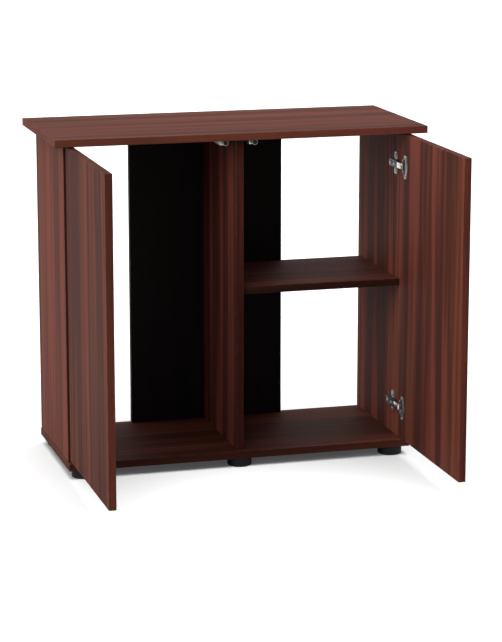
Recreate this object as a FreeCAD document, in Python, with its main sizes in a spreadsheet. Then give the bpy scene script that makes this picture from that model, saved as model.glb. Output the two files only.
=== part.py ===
import FreeCAD
import Part
import Sketcher
import os
import re

# Aquarium cabinet with two doors on cup hinges, in millimetres.
# X runs to the right, Y to the back and Z up. The floor is z = 0.
# The doors stand open at a right angle, which is the rest pose.

# Driving sizes. Every other length below is worked out from these.
sizes = {
    # boards
    "top_width": 810,
    "top_depth": 360,
    "total_height": 730,
    "board": 16,
    "edge_ease": 0.8,
    "end_overhang": 25.5,
    "side_setback": 40,
    "back_setback": 22,
    "bottom_setback": 21,
    "bottom_overhang": 1.5,
    "back_width": 350,
    "shelf_level": 391,
    "shelf_setback": 10,
    "shelf_play": 0.5,
    # doors and the gaps round them when shut
    "door_thickness": 16,
    "door_gap": 3,
    "door_end_gap": 3,
    "door_reveal": 3,
    "meeting_gap": 3,
    # feet
    "foot_diameter": 53,
    "foot_height": 19,
    "foot_ease": 2,
    "foot_end_inset": 37,
    "foot_front_inset": 27,
    "foot_back_inset": 29,
    "foot_recess_radius": 8,
    "foot_recess_depth": 10,
    # dowels between the boards
    "dowel_radius": 4,
    "dowel_length": 30,
    "dowel_in_face": 10,
    "dowel_inset": 50,
    "dowel_room": 1,
    "dowel_fit": 0.05,
    "rear_dowel_inset": 150,
    # pins under the shelf
    "shelf_pin_radius": 2.5,
    "shelf_pin_length": 16,
    "shelf_pin_seat": 8,
    "shelf_pin_inset": 40,
    "shelf_pin_fit": 0.05,
    # hinge axis, measured on the shut door from its edge and from its inner face
    "hinge_inset": 70.5,
    "pin_inset": 7.5,
    "pin_depth": 9.5,
    "pin_radius": 1.2,
    "pin_end": 0.4,
    "pin_fit": 0.05,
    "pin_press": 0.01,
    # hinge cups
    "cup_radius": 17.5,
    "cup_depth": 13,
    "cup_wall": 0.8,
    "cup_edge": 3,
    "cup_fit": 0.1,
    "lug_gap": 0.6,
    "lug_thickness": 1.6,
    "lug_reach": 2.4,
    "flange_rim": 1,
    "flange_thickness": 1.2,
    "ear_width": 18,
    "ear_height": 52,
    "ear_offset": 5.5,
    "ear_corner": 3,
    "cup_screw_spacing": 45,
    # hinge plates
    "plate_set": 40,
    "wing_height": 48,
    "wing_width": 18,
    "wing_thickness": 2,
    "wing_corner": 3,
    "plate_screw_spacing": 32,
    "rail_start": 24,
    "rail_length": 36,
    "rail_width": 12,
    "rail_height": 7.5,
    # hinge arms
    "arm_start": 15,
    "arm_length": 50,
    "arm_sheet": 1.5,
    "arm_lift": 2.5,
    "arm_play": 0.2,
    "arm_front_screw_inset": 30,
    "arm_rear_screw_inset": 54,
    "neck_width": 12,
    "neck_overlap": 7,
    "neck_thickness": 3,
    "neck_tip": 3.2,
    "neck_bend": 2.5,
    "knuckle_radius": 2.1,
    # screws
    "screw_fit": 0.05,
    "screw_room": 1,
    "plate_screw_radius": 2.5,
    "plate_screw_length": 13,
    "plate_screw_head_radius": 4,
    "plate_screw_head_height": 2,
    "cup_screw_radius": 1.75,
    "cup_screw_length": 12,
    "cup_screw_head_radius": 3.4,
    "cup_screw_head_height": 1.6,
    "arm_screw_radius": 2,
    "arm_screw_length": 6.5,
    "arm_screw_head_radius": 3.5,
    "arm_screw_head_height": 2,
    "latch_screw_radius": 1.75,
    "latch_screw_length": 13,
    "latch_screw_head_radius": 3.2,
    "latch_screw_head_height": 1.8,
    "foot_screw_radius": 2.25,
    "foot_screw_length": 22,
    "foot_screw_head_radius": 5,
    "foot_screw_head_height": 3,
    # push latches under the top
    "latch_offset": 32,
    "latch_drop": 9.5,
    "latch_setback": 61.5,
    "latch_length": 60,
    "latch_width": 13,
    "latch_height": 17.5,
    "latch_wall": 3,
    "latch_ear_length": 24,
    "latch_ear_thickness": 3,
    "latch_ear_screw_inset": 6,
    "chamber_radius": 5.2,
    "plunger_head_radius": 6,
    "plunger_head_length": 16,
    "plunger_ease": 1,
    "plunger_gap": 0.4,
    "stem_radius": 3.5,
    "stem_fit": 0.1,
    "collar_radius": 4.8,
    "collar_length": 3,
    "collar_gap": 0.3,
    "spring_radius": 4.6,
    "spring_wire": 0.8,
    "spring_gap": 0.1,
}

# Lengths and places that follow from the driving sizes
derived = {
    "carcass_width": "top_width - 2 * end_overhang",
    "half_carcass": "carcass_width / 2",
    "side_inner": "half_carcass - board",
    "floor_z": "foot_height + board",
    "ceiling_z": "total_height - board",
    "carcass_height": "ceiling_z - floor_z",
    "side_depth": "top_depth - side_setback - back_setback",
    "partition_depth": "side_depth - board",
    "bottom_width": "carcass_width + 2 * bottom_overhang",
    "bottom_depth": "top_depth - bottom_setback - back_setback",
    "shelf_width": "side_inner - board / 2 - 2 * shelf_play",
    "shelf_depth": "partition_depth - shelf_setback",
    "shelf_z": "shelf_level - board",
    "door_width": "half_carcass - door_reveal - meeting_gap / 2",
    "door_height": "carcass_height - 2 * door_end_gap",
    "door_middle_z": "floor_z + carcass_height / 2",
    "hinge_reach": "door_height / 2 - hinge_inset",
    # the open door: its hinge edge stands in front of the side, its inner face inside the opening
    "open_gap": "door_gap + pin_depth - pin_inset",
    "open_inner": "pin_depth + pin_inset + door_reveal - board",
    "door_face_x": "side_inner - open_inner",
    # the cabinet and its open doors are centred on the origin
    "front_y": "-(top_depth + side_setback - open_gap - door_width) / 2",
    "side_y": "front_y + side_setback",
    "back_y": "side_y + side_depth",
    "bottom_y": "front_y + bottom_setback",
    "back_face_y": "back_y - board",
    "door_edge_y": "side_y - open_gap",
    # dowels and pins
    "dowel_end_depth": "dowel_length - dowel_in_face + dowel_room",
    "dowel_hole": "dowel_radius + dowel_fit",
    "back_dowel_x": "back_width / 2 - dowel_inset",
    "shelf_pin_z": "shelf_z - shelf_pin_radius",
    "shelf_pin_front": "shelf_setback + shelf_pin_inset",
    "shelf_pin_rear": "partition_depth - shelf_pin_inset",
    "shelf_pin_hole": "shelf_pin_radius + shelf_pin_fit",
    # hinge pieces
    "cup_centre": "cup_edge + cup_radius",
    "cup_bore": "cup_radius - cup_wall",
    "ear_centre": "cup_centre + ear_offset",
    "lug_start": "neck_width / 2 + lug_gap",
    "lug_end": "lug_start + lug_thickness",
    "pin_length": "2 * (lug_end + pin_end)",
    "axis_x": "pin_inset + door_reveal - board",
    "axis_y": "-(door_gap + pin_depth)",
    "arm_top": "rail_height + arm_sheet",
    "arm_width": "rail_width + 2 * arm_play + 2 * arm_sheet",
    "neck_inner": "arm_top - neck_thickness",
    "neck_end": "axis_y - knuckle_radius",
    "neck_back": "arm_start + neck_overlap",
    "rail_hole_depth": "arm_screw_length - arm_sheet + screw_room / 2",
    # feet
    "foot_radius": "foot_diameter / 2",
    "foot_x": "bottom_width / 2 - foot_end_inset",
    "foot_front_y": "bottom_y + foot_front_inset",
    "foot_back_y": "back_y - foot_back_inset",
    "foot_web": "foot_height - foot_recess_depth",
    # latches: the plunger's tip lies just behind the shut door's inner face
    "latch_y": "front_y + latch_setback",
    "latch_z": "ceiling_z - latch_drop",
    "tip_y": "side_setback - door_gap + plunger_gap - latch_setback",
    "head_back_y": "tip_y + plunger_head_length",
    "collar_y": "latch_wall + collar_gap",
    "collar_back_y": "collar_y + collar_length",
    "chamber_end": "latch_length - latch_wall",
    "spring_y": "collar_back_y + spring_gap",
    "spring_length": "chamber_end - spring_y - spring_gap",
}

doc = FreeCAD.newDocument("AquariumCabinet")
sheet = doc.addObject("Spreadsheet::Sheet", "Sizes")
for row, (name, number) in enumerate(sizes.items(), start=1):
    sheet.set("A%d" % row, name)
    sheet.set("B%d" % row, str(number))
    sheet.setAlias("B%d" % row, name)
doc.recompute()

vector = FreeCAD.Vector
upright = FreeCAD.Rotation()
half_turn = FreeCAD.Rotation(vector(0, 1, 0), 180)
along_x = FreeCAD.Rotation(vector(0, 1, 0), 90)
along_minus_x = FreeCAD.Rotation(vector(0, 1, 0), -90)
along_y = FreeCAD.Rotation(vector(1, 0, 0), -90)
subparts = []


def formula(text):
    """The text as an expression on the sheet's cells."""
    def swap(match):
        word = match.group(0)
        if word in derived:
            return "(" + formula(derived[word]) + ")"
        if word in sizes:
            return "Sizes." + word
        raise KeyError(word)
    return re.sub(r"[a-z][a-z_]*", swap, text)


def value(text):
    """The number that the text stands for now."""
    return float(sheet.evalExpression(formula(text)))


def bind(thing, field, text):
    thing.setExpression(field, formula(text))


def place(thing, x, y, z, rotation=upright):
    thing.Placement = FreeCAD.Placement(vector(value(x), value(y), value(z)), rotation)
    bind(thing, "Placement.Base.x", x)
    bind(thing, "Placement.Base.y", y)
    bind(thing, "Placement.Base.z", z)


def new_body(label):
    body = doc.addObject("PartDesign::Body", label)
    body.Label = label
    subparts.append(body)
    return body


def new_sketch(body, name, role, offset="0"):
    """A sketch on one of the body's own planes, moved along that plane's normal."""
    sketch = body.newObject("Sketcher::SketchObject", body.Name + "_" + name)
    planes = [item for item in body.Origin.OriginFeatures if item.Role == role]
    sketch.AttachmentSupport = [(planes[0], "")]
    sketch.MapMode = "FlatFace"
    if offset != "0":
        bind(sketch, "AttachmentOffset.Base.z", offset)
    return sketch


def fix_point(sketch, item, end, across, up):
    """Dimension one point of a sketch from the sketch's origin."""
    for kind, text in (("DistanceX", across), ("DistanceY", up)):
        number = sketch.addConstraint(Sketcher.Constraint(kind, -1, 1, item, end, value(text)))
        if text != "0":
            bind(sketch, "Constraints[%d]" % number, text)


def draw_outline(sketch, corners):
    """A closed outline of straight lines through the corners."""
    spots = [vector(value(across), value(up), 0) for across, up in corners]
    first = sketch.GeometryCount
    count = len(spots)
    for index in range(count):
        sketch.addGeometry(Part.LineSegment(spots[index], spots[(index + 1) % count]), False)
    for index in range(count):
        following = first + (index + 1) % count
        sketch.addConstraint(Sketcher.Constraint("Coincident", first + index, 2, following, 1))
    for index, (across, up) in enumerate(corners):
        fix_point(sketch, first + index, 1, across, up)


def draw_circle(sketch, across, up, radius):
    shape = Part.Circle(vector(value(across), value(up), 0), vector(0, 0, 1), value(radius))
    item = sketch.addGeometry(shape, False)
    fix_point(sketch, item, 3, across, up)
    number = sketch.addConstraint(Sketcher.Constraint("Radius", item, value(radius)))
    bind(sketch, "Constraints[%d]" % number, radius)


def rectangle(low, high):
    """The corners of an upright rectangle, from its lowest and highest corner."""
    return [low, (high[0], low[1]), high, (low[0], high[1])]


def clipped_rectangle(low, high, corner):
    """A rectangle with its four corners cut off."""
    left = "%s + %s" % (low[0], corner)
    right = "%s - %s" % (high[0], corner)
    lower = "%s + %s" % (low[1], corner)
    upper = "%s - %s" % (high[1], corner)
    return [(left, low[1]), (right, low[1]), (high[0], lower), (high[0], upper),
            (right, high[1]), (left, high[1]), (low[0], upper), (low[0], lower)]


def add_pad(body, sketch, length, back=False):
    pad = body.newObject("PartDesign::Pad", sketch.Name + "_pad")
    pad.Profile = sketch
    pad.Reversed = back
    bind(pad, "Length", length)
    return pad


def add_pocket(body, sketch, depth, back=False):
    """Cut against the sketch plane's normal, or along it when back is set."""
    pocket = body.newObject("PartDesign::Pocket", sketch.Name + "_pocket")
    pocket.Profile = sketch
    pocket.Reversed = back
    bind(pocket, "Length", depth)
    return pocket


def add_turned(body, kind, sketch, axis):
    """A Revolution or Groove right round one of the sketch's axes."""
    feature = body.newObject("PartDesign::" + kind, sketch.Name + "_turned")
    feature.Profile = sketch
    feature.ReferenceAxis = (sketch, [axis])
    feature.Angle = 360
    return feature


def add_eased_edges(body, kind, base, edges, size):
    """Chamfer or Fillet on the named edges of the feature before it."""
    feature = body.newObject("PartDesign::" + kind, base.Name + "_eased")
    feature.Base = (base, edges)
    bind(feature, "Size" if kind == "Chamfer" else "Radius", size)
    return feature


def board(label, low, high):
    """A board with eased edges, given by two opposite corners in its own frame."""
    body = new_body(label)
    outline = new_sketch(body, "outline", "XY_Plane", low[2])
    draw_outline(outline, rectangle(low[:2], high[:2]))
    pad = add_pad(body, outline, "%s - (%s)" % (high[2], low[2]))
    doc.recompute()
    edges = ["Edge%d" % (index + 1) for index in range(len(pad.Shape.Edges))]
    add_eased_edges(body, "Chamfer", pad, edges, "edge_ease")
    return body


def drill(body, name, role, offset, spots, radius, depth, back=False):
    """Round holes from one plane of the body."""
    sketch = new_sketch(body, name, role, offset)
    for across, up in spots:
        draw_circle(sketch, across, up, radius)
    add_pocket(body, sketch, depth, back)


def cylinder(name, radius, length, spot, rotation=upright):
    item = doc.addObject("Part::Cylinder", name)
    bind(item, "Radius", radius)
    bind(item, "Height", length)
    place(item, *spot, rotation)
    return item


def group(label, members):
    """Separate solids of one kind under one name."""
    node = doc.addObject("Part::Compound", label)
    node.Label = label
    node.Links = members
    subparts.append(node)
    return node


def screw(name, kind, spot, head_spot, rotation):
    """A pan-head screw: its shank starts at spot and its head at head_spot, both along the rotation."""
    shank = cylinder(name + "_shank", kind + "_radius", kind + "_length", spot, rotation)
    head = doc.addObject("Part::Cone", name + "_head")
    bind(head, "Radius1", kind + "_head_radius - %s_head_height / 2" % kind)
    bind(head, "Radius2", kind + "_head_radius")
    bind(head, "Height", kind + "_head_height")
    place(head, *head_spot, rotation)
    whole = doc.addObject("Part::Fuse", name)
    whole.Base = shank
    whole.Tool = head
    return whole


# The three upright boards share these dowel places along their depth
side_dowels = ["dowel_inset", "side_depth - dowel_inset"]
partition_dowels = ["dowel_inset", "partition_depth - dowel_inset"]

# Top panel, with dowel and screw holes in its underside
top = board("top_panel", ("-top_width / 2", "0", "0"), ("top_width / 2", "top_depth", "board"))
place(top, "0", "front_y", "ceiling_z")
side_centre = "half_carcass - board / 2"
dowel_spots = []
for offset in side_dowels:
    dowel_spots.append(("-(%s)" % side_centre, "side_setback + " + offset))
    dowel_spots.append((side_centre, "side_setback + " + offset))
for offset in partition_dowels:
    dowel_spots.append(("0", "side_setback + " + offset))
back_middle = "side_setback + side_depth - board / 2"
for sign in ("-", ""):
    dowel_spots.append((sign + "back_dowel_x", back_middle))
drill(top, "dowels", "XY_Plane", "0", dowel_spots, "dowel_hole", "dowel_in_face", back=True)
latch_screw_y = ["latch_length + latch_ear_screw_inset",
                 "latch_length + latch_ear_length - latch_ear_screw_inset"]
latch_spots = []
for sign in ("-", ""):
    for offset in latch_screw_y:
        latch_spots.append((sign + "latch_offset", "latch_setback + " + offset))
drill(top, "latches", "XY_Plane", "0", latch_spots, "latch_screw_radius + screw_fit",
      "latch_screw_length - latch_ear_thickness + screw_room", back=True)

# Bottom panel, with dowel holes above and foot screw holes below
bottom = board("bottom_panel", ("-bottom_width / 2", "0", "0"),
               ("bottom_width / 2", "bottom_depth", "board"))
place(bottom, "0", "bottom_y", "foot_height")
lower_spots = [(across, up + " - bottom_setback") for across, up in dowel_spots]
drill(bottom, "dowels", "XY_Plane", "board", lower_spots, "dowel_hole", "dowel_in_face")
foot_columns = ["-foot_x", "0", "foot_x"]
foot_rows = ["foot_front_y", "foot_back_y"]
foot_spots = [(across, row + " - bottom_y") for across in foot_columns for row in foot_rows]
drill(bottom, "feet", "XY_Plane", "0", foot_spots, "foot_screw_radius + screw_fit",
      "foot_screw_length - foot_web + screw_room", back=True)


def drill_ends(body, spots):
    """Dowel holes in the upper and lower end of an upright board."""
    drill(body, "upper_dowels", "XY_Plane", "carcass_height", spots, "dowel_hole", "dowel_end_depth")
    drill(body, "lower_dowels", "XY_Plane", "0", spots, "dowel_hole", "dowel_end_depth", back=True)


# Side panels: hinge plate screws go into the inner face, and shelf pins into the right one
hinge_levels = ["door_middle_z + hinge_reach", "door_middle_z - hinge_reach"]
plate_spots = []
for level in hinge_levels:
    for sign in ("+", "-"):
        plate_spots.append(("plate_set", level + " - floor_z " + sign + " plate_screw_spacing / 2"))
shelf_pin_spots = [(across, "shelf_pin_z - floor_z") for across in ("shelf_pin_front", "shelf_pin_rear")]
plate_hole_depth = "plate_screw_length - wing_thickness + screw_room"
shelf_pin_hole_depth = "shelf_pin_seat + dowel_room"
for side in ("left", "right"):
    panel = board(side + "_side_panel", ("0", "0", "0"), ("board", "side_depth", "carcass_height"))
    drill_ends(panel, [("board / 2", offset) for offset in side_dowels])
    inner = "board" if side == "left" else "0"
    from_right = side == "right"
    drill(panel, "plates", "YZ_Plane", inner, plate_spots, "plate_screw_radius + screw_fit",
          plate_hole_depth, back=from_right)
    if from_right:
        drill(panel, "shelf", "YZ_Plane", inner, shelf_pin_spots, "shelf_pin_hole",
              shelf_pin_hole_depth, back=True)
    place(panel, "side_inner" if from_right else "-half_carcass", "side_y", "floor_z")

# Middle partition, dowelled to the back panel behind it
rear_levels = ["rear_dowel_inset", "carcass_height - rear_dowel_inset"]
partition = board("middle_partition", ("0", "0", "0"), ("board", "partition_depth", "carcass_height"))
drill_ends(partition, [("board / 2", offset) for offset in partition_dowels])
drill(partition, "rear_dowels", "XZ_Plane", "-partition_depth",
      [("board / 2", level) for level in rear_levels], "dowel_hole", "dowel_end_depth", back=True)
drill(partition, "shelf", "YZ_Plane", "board", shelf_pin_spots, "shelf_pin_hole", shelf_pin_hole_depth)
place(partition, "-board / 2", "side_y", "floor_z")

# Back panel, as wide as the middle of the cabinet only
back = board("back_panel", ("-back_width / 2", "0", "0"), ("back_width / 2", "board", "carcass_height"))
drill_ends(back, [(sign + "back_dowel_x", "board / 2") for sign in ("-", "")])
drill(back, "front_dowels", "XZ_Plane", "0", [("0", level) for level in rear_levels],
      "dowel_hole", "dowel_in_face")
place(back, "0", "back_face_y", "floor_z")

# Shelf in the right-hand bay, lying on four pins
shelf = board("shelf", ("0", "0", "0"), ("shelf_width", "shelf_depth", "board"))
place(shelf, "board / 2 + shelf_play", "side_y + shelf_setback", "shelf_z")
shelf_pins = []
for index, depth in enumerate(("shelf_pin_front", "shelf_pin_rear")):
    spot = ("board / 2 - shelf_pin_seat", "side_y + " + depth, "shelf_pin_z")
    shelf_pins.append(cylinder("shelf_pin_left_%d" % index, "shelf_pin_radius", "shelf_pin_length",
                               spot, along_x))
    spot = ("side_inner + shelf_pin_seat", "side_y + " + depth, "shelf_pin_z")
    shelf_pins.append(cylinder("shelf_pin_right_%d" % index, "shelf_pin_radius", "shelf_pin_length",
                               spot, along_minus_x))
group("shelf_pins", shelf_pins)

# Dowels: upright ones into the top and bottom panels, level ones between partition and back
for label, start in (("top_dowels", "ceiling_z - dowel_length + dowel_in_face"),
                     ("bottom_dowels", "floor_z - dowel_in_face")):
    members = []
    for index, (across, up) in enumerate(dowel_spots):
        spot = (across, "front_y + " + up, start)
        members.append(cylinder("%s_%d" % (label, index), "dowel_radius", "dowel_length", spot))
    group(label, members)
rear_dowels = []
for index, level in enumerate(rear_levels):
    spot = ("0", "back_face_y + dowel_in_face - dowel_length", "floor_z + " + level)
    rear_dowels.append(cylinder("rear_dowels_%d" % index, "dowel_radius", "dowel_length", spot, along_y))
group("rear_dowels", rear_dowels)

# Feet, each with a recess below for its screw
foot_screws = []
foot_names = {"-foot_x": "left", "0": "middle", "foot_x": "right"}
for row, row_name in zip(foot_rows, ("front", "back")):
    for column in foot_columns:
        foot = new_body("%s_%s_foot" % (row_name, foot_names[column]))
        profile = new_sketch(foot, "profile", "XZ_Plane")
        draw_outline(profile, [
            ("foot_screw_radius + screw_fit", "foot_recess_depth"),
            ("foot_recess_radius", "foot_recess_depth"),
            ("foot_recess_radius", "0"),
            ("foot_radius - foot_ease", "0"),
            ("foot_radius", "foot_ease"),
            ("foot_radius", "foot_height"),
            ("foot_screw_radius + screw_fit", "foot_height"),
        ])
        add_turned(foot, "Revolution", profile, "V_Axis")
        place(foot, column, row, "0")
        foot_screws.append(screw(
            "foot_screw_%s_%s" % (row_name, foot_names[column]), "foot_screw",
            (column, row, "foot_recess_depth"),
            (column, row, "foot_recess_depth - foot_screw_head_height"), upright))
group("foot_screws", foot_screws)

# Doors, in a frame on the hinge edge: x = 0 is the inner face and y = 0 the hinge edge
door_hinges = ["hinge_reach", "-hinge_reach"]
door_places = {"left": ("-door_face_x", upright), "right": ("door_face_x", half_turn)}
for side, (face_x, rotation) in door_places.items():
    door = board(side + "_door", ("-door_thickness", "-door_width", "-door_height / 2"),
                 ("0", "0", "door_height / 2"))
    drill(door, "cups", "YZ_Plane", "0", [("-cup_centre", level) for level in door_hinges],
          "cup_radius + cup_fit", "cup_depth + cup_fit")
    cup_screw_spots = []
    for level in door_hinges:
        for sign in (" + ", " - "):
            cup_screw_spots.append(("-ear_centre", level + sign + "cup_screw_spacing / 2"))
    drill(door, "cup_screws", "YZ_Plane", "0", cup_screw_spots, "cup_screw_radius + screw_fit",
          "cup_screw_length - flange_thickness + screw_room")
    place(door, face_x, "door_edge_y", "door_middle_z", rotation)


def hinge_cup(label):
    """A pressed cup with a flange, two ears and two lugs for the pin.

    Its frame is the door's, with z = 0 at the cup's middle.
    """
    body = new_body(label)
    rim = new_sketch(body, "rim", "YZ_Plane")
    draw_circle(rim, "-cup_centre", "0", "cup_radius + flange_rim")
    add_pad(body, rim, "flange_thickness")
    ears = new_sketch(body, "ears", "YZ_Plane")
    draw_outline(ears, clipped_rectangle(
        ("-ear_centre - ear_width / 2", "-ear_height / 2"),
        ("-ear_centre + ear_width / 2", "ear_height / 2"), "ear_corner"))
    add_pad(body, ears, "flange_thickness")
    barrel = new_sketch(body, "barrel", "YZ_Plane")
    draw_circle(barrel, "-cup_centre", "0", "cup_radius")
    add_pad(body, barrel, "cup_depth", back=True)
    drill(body, "bore", "YZ_Plane", "flange_thickness", [("-cup_centre", "0")], "cup_bore",
          "flange_thickness + cup_depth - cup_wall")
    ear_spots = [("-ear_centre", sign + "cup_screw_spacing / 2") for sign in ("-", "")]
    drill(body, "ear_holes", "YZ_Plane", "flange_thickness", ear_spots, "cup_screw_radius + screw_fit",
          "flange_thickness")
    for name, start in (("upper_lug", "lug_start"), ("lower_lug", "-lug_end")):
        lug = new_sketch(body, name, "XY_Plane", start)
        draw_outline(lug, rectangle(("cup_wall - cup_depth", "-pin_inset - lug_reach"),
                                    ("lug_reach - pin_depth", "lug_reach - pin_inset")))
        add_pad(body, lug, "lug_thickness")
    drill(body, "pin_hole", "XY_Plane", "lug_end", [("-pin_depth", "-pin_inset")],
          "pin_radius + pin_press", "2 * lug_end")
    return body


def hinge_plate(label):
    """A mounting plate: two wings for its screws and a rail that carries the arm.

    Its frame lies on the side panel's inner face at the front edge, x inwards and y to the back.
    """
    body = new_body(label)
    wings = new_sketch(body, "wings", "YZ_Plane")
    draw_outline(wings, clipped_rectangle(
        ("plate_set - wing_width / 2", "-wing_height / 2"),
        ("plate_set + wing_width / 2", "wing_height / 2"), "wing_corner"))
    add_pad(body, wings, "wing_thickness")
    rail = new_sketch(body, "rail", "YZ_Plane")
    draw_outline(rail, rectangle(("rail_start", "-rail_width / 2"),
                                 ("rail_start + rail_length", "rail_width / 2")))
    add_pad(body, rail, "rail_height")
    wing_spots = [("plate_set", sign + "plate_screw_spacing / 2") for sign in ("-", "")]
    drill(body, "wing_holes", "YZ_Plane", "wing_thickness", wing_spots,
          "plate_screw_radius + screw_fit", "wing_thickness")
    rail_spots = [("arm_front_screw_inset", "0"), ("arm_rear_screw_inset", "0")]
    drill(body, "rail_holes", "YZ_Plane", "rail_height", rail_spots,
          "arm_screw_radius + screw_fit", "rail_hole_depth")
    return body


def hinge_arm(label):
    """A channel over the rail, with a bent neck that reaches into the cup and turns on the pin."""
    body = new_body(label)
    channel = new_sketch(body, "channel", "XY_Plane", "-arm_width / 2")
    draw_outline(channel, rectangle(("arm_lift", "arm_start"), ("arm_top", "arm_start + arm_length")))
    add_pad(body, channel, "arm_width")
    hollow = new_sketch(body, "hollow", "XY_Plane", "rail_width / 2 + arm_play")
    draw_outline(hollow, rectangle(("arm_lift - screw_room", "arm_start - screw_room"),
                                   ("rail_height", "arm_start + arm_length + screw_room")))
    add_pocket(body, hollow, "rail_width + 2 * arm_play")
    neck = new_sketch(body, "neck", "XY_Plane", "-neck_width / 2")
    draw_outline(neck, [
        ("neck_inner", "neck_back"),
        ("neck_inner", "neck_end + neck_tip"),
        ("axis_x", "neck_end + neck_tip"),
        ("axis_x", "neck_end"),
        ("arm_top - neck_bend", "neck_end"),
        ("arm_top", "neck_end + neck_bend"),
        ("arm_top", "neck_back"),
    ])
    add_pad(body, neck, "neck_width")
    knuckle = new_sketch(body, "knuckle", "XY_Plane", "-neck_width / 2")
    draw_circle(knuckle, "axis_x", "axis_y", "knuckle_radius")
    add_pad(body, knuckle, "neck_width")
    drill(body, "pin_hole", "XY_Plane", "neck_width / 2", [("axis_x", "axis_y")],
          "pin_radius + pin_fit", "neck_width")
    screw_spots = [("arm_front_screw_inset", "0"), ("arm_rear_screw_inset", "0")]
    drill(body, "screw_holes", "YZ_Plane", "arm_top", screw_spots,
          "arm_screw_radius + screw_fit", "arm_sheet")
    return body


# Hinges: the left ones stand as drawn, and the right ones are turned over about Y
side_places = {"left": ("-", upright, along_minus_x), "right": ("", half_turn, along_x)}
levels = dict(zip(("upper", "lower"), hinge_levels))
plate_screws = []
arm_screws = []
for side, (sign, rotation, outwards) in side_places.items():
    towards_middle = "+" if side == "left" else "-"
    pins = []
    cup_screws = []
    for level, height in levels.items():
        name = "%s_%s_hinge" % (side, level)
        place(hinge_plate(name + "_plate"), sign + "side_inner", "side_y", height, rotation)
        place(hinge_arm(name + "_arm"), sign + "side_inner", "side_y", height, rotation)
        place(hinge_cup(name + "_cup"), sign + "door_face_x", "door_edge_y", height, rotation)
        axis_place = "%s(door_face_x + pin_depth)" % sign
        pins.append(cylinder(name + "_pin", "pin_radius", "pin_length",
                             (axis_place, "door_edge_y - pin_inset", height + " - pin_length / 2")))
        for index, way in enumerate((" + ", " - ")):
            across = "%sside_inner %s " % (sign, towards_middle)
            spot_y = "side_y + plate_set"
            spot_z = height + way + "plate_screw_spacing / 2"
            plate_screws.append(screw(
                "%s_plate_screw_%d" % (name, index), "plate_screw",
                (across + "wing_thickness", spot_y, spot_z),
                (across + "(wing_thickness + plate_screw_head_height)", spot_y, spot_z), outwards))
            across = "%sdoor_face_x %s " % (sign, towards_middle)
            spot_y = "door_edge_y - ear_centre"
            spot_z = height + way + "cup_screw_spacing / 2"
            cup_screws.append(screw(
                "%s_cup_screw_%d" % (name, index), "cup_screw",
                (across + "flange_thickness", spot_y, spot_z),
                (across + "(flange_thickness + cup_screw_head_height)", spot_y, spot_z), outwards))
        for index, along in enumerate(("arm_front_screw_inset", "arm_rear_screw_inset")):
            across = "%sside_inner %s " % (sign, towards_middle)
            arm_screws.append(screw(
                "%s_arm_screw_%d" % (name, index), "arm_screw",
                (across + "arm_top", "side_y + " + along, height),
                (across + "(arm_top + arm_screw_head_height)", "side_y + " + along, height), outwards))
    group(side + "_hinge_pins", pins)
    group(side + "_cup_screws", cup_screws)
group("plate_screws", plate_screws)
group("arm_screws", arm_screws)

# Push latches, in a frame on the plunger's axis with y = 0 at the housing's front
latch_screws = []
for side, sign in (("left", "-"), ("right", "")):
    across = sign + "latch_offset"
    housing = new_body(side + "_latch_housing")
    section = new_sketch(housing, "section", "XZ_Plane")
    draw_outline(section, rectangle(("-latch_width / 2", "latch_drop - latch_height"),
                                    ("latch_width / 2", "latch_drop")))
    block = add_pad(housing, section, "latch_length", back=True)
    doc.recompute()
    block_edges = ["Edge%d" % (index + 1) for index in range(len(block.Shape.Edges))]
    add_eased_edges(housing, "Chamfer", block, block_edges, "edge_ease")
    ear = new_sketch(housing, "ear", "XY_Plane", "latch_drop")
    draw_outline(ear, rectangle(("-latch_width / 2", "latch_length - latch_wall"),
                                ("latch_width / 2", "latch_length + latch_ear_length")))
    add_pad(housing, ear, "latch_ear_thickness", back=True)
    drill(housing, "ear_holes", "XY_Plane", "latch_drop", [("0", offset) for offset in latch_screw_y],
          "latch_screw_radius + screw_fit", "latch_ear_thickness")
    chamber = new_sketch(housing, "chamber", "YZ_Plane")
    draw_outline(chamber, [
        ("-screw_room", "0"),
        ("chamber_end", "0"),
        ("chamber_end", "chamber_radius"),
        ("latch_wall", "chamber_radius"),
        ("latch_wall", "stem_radius + stem_fit"),
        ("-screw_room", "stem_radius + stem_fit"),
    ])
    add_turned(housing, "Groove", chamber, "H_Axis")
    place(housing, across, "latch_y", "latch_z")

    plunger = new_body(side + "_latch_plunger")
    profile = new_sketch(plunger, "profile", "YZ_Plane")
    draw_outline(profile, [
        ("tip_y", "0"),
        ("tip_y", "plunger_head_radius - plunger_ease"),
        ("tip_y + plunger_ease", "plunger_head_radius"),
        ("head_back_y", "plunger_head_radius"),
        ("head_back_y", "stem_radius"),
        ("collar_y", "stem_radius"),
        ("collar_y", "collar_radius"),
        ("collar_back_y", "collar_radius"),
        ("collar_back_y", "0"),
    ])
    add_turned(plunger, "Revolution", profile, "H_Axis")
    place(plunger, across, "latch_y", "latch_z")

    outer = cylinder(side + "_spring_outer", "spring_radius", "spring_length",
                     (across, "latch_y + spring_y", "latch_z"), along_y)
    inner = cylinder(side + "_spring_inner", "spring_radius - spring_wire", "spring_length",
                     (across, "latch_y + spring_y", "latch_z"), along_y)
    spring = doc.addObject("Part::Cut", side + "_latch_spring")
    spring.Label = side + "_latch_spring"
    spring.Base = outer
    spring.Tool = inner
    subparts.append(spring)

    for index, offset in enumerate(latch_screw_y):
        spot = (across, "latch_y + " + offset, "ceiling_z - latch_ear_thickness")
        head_spot = (spot[0], spot[1], spot[2] + " - latch_screw_head_height")
        name = "%s_latch_screw_%d" % (side, index)
        latch_screws.append(screw(name, "latch_screw", spot, head_spot, upright))
group("latch_screws", latch_screws)

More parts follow.
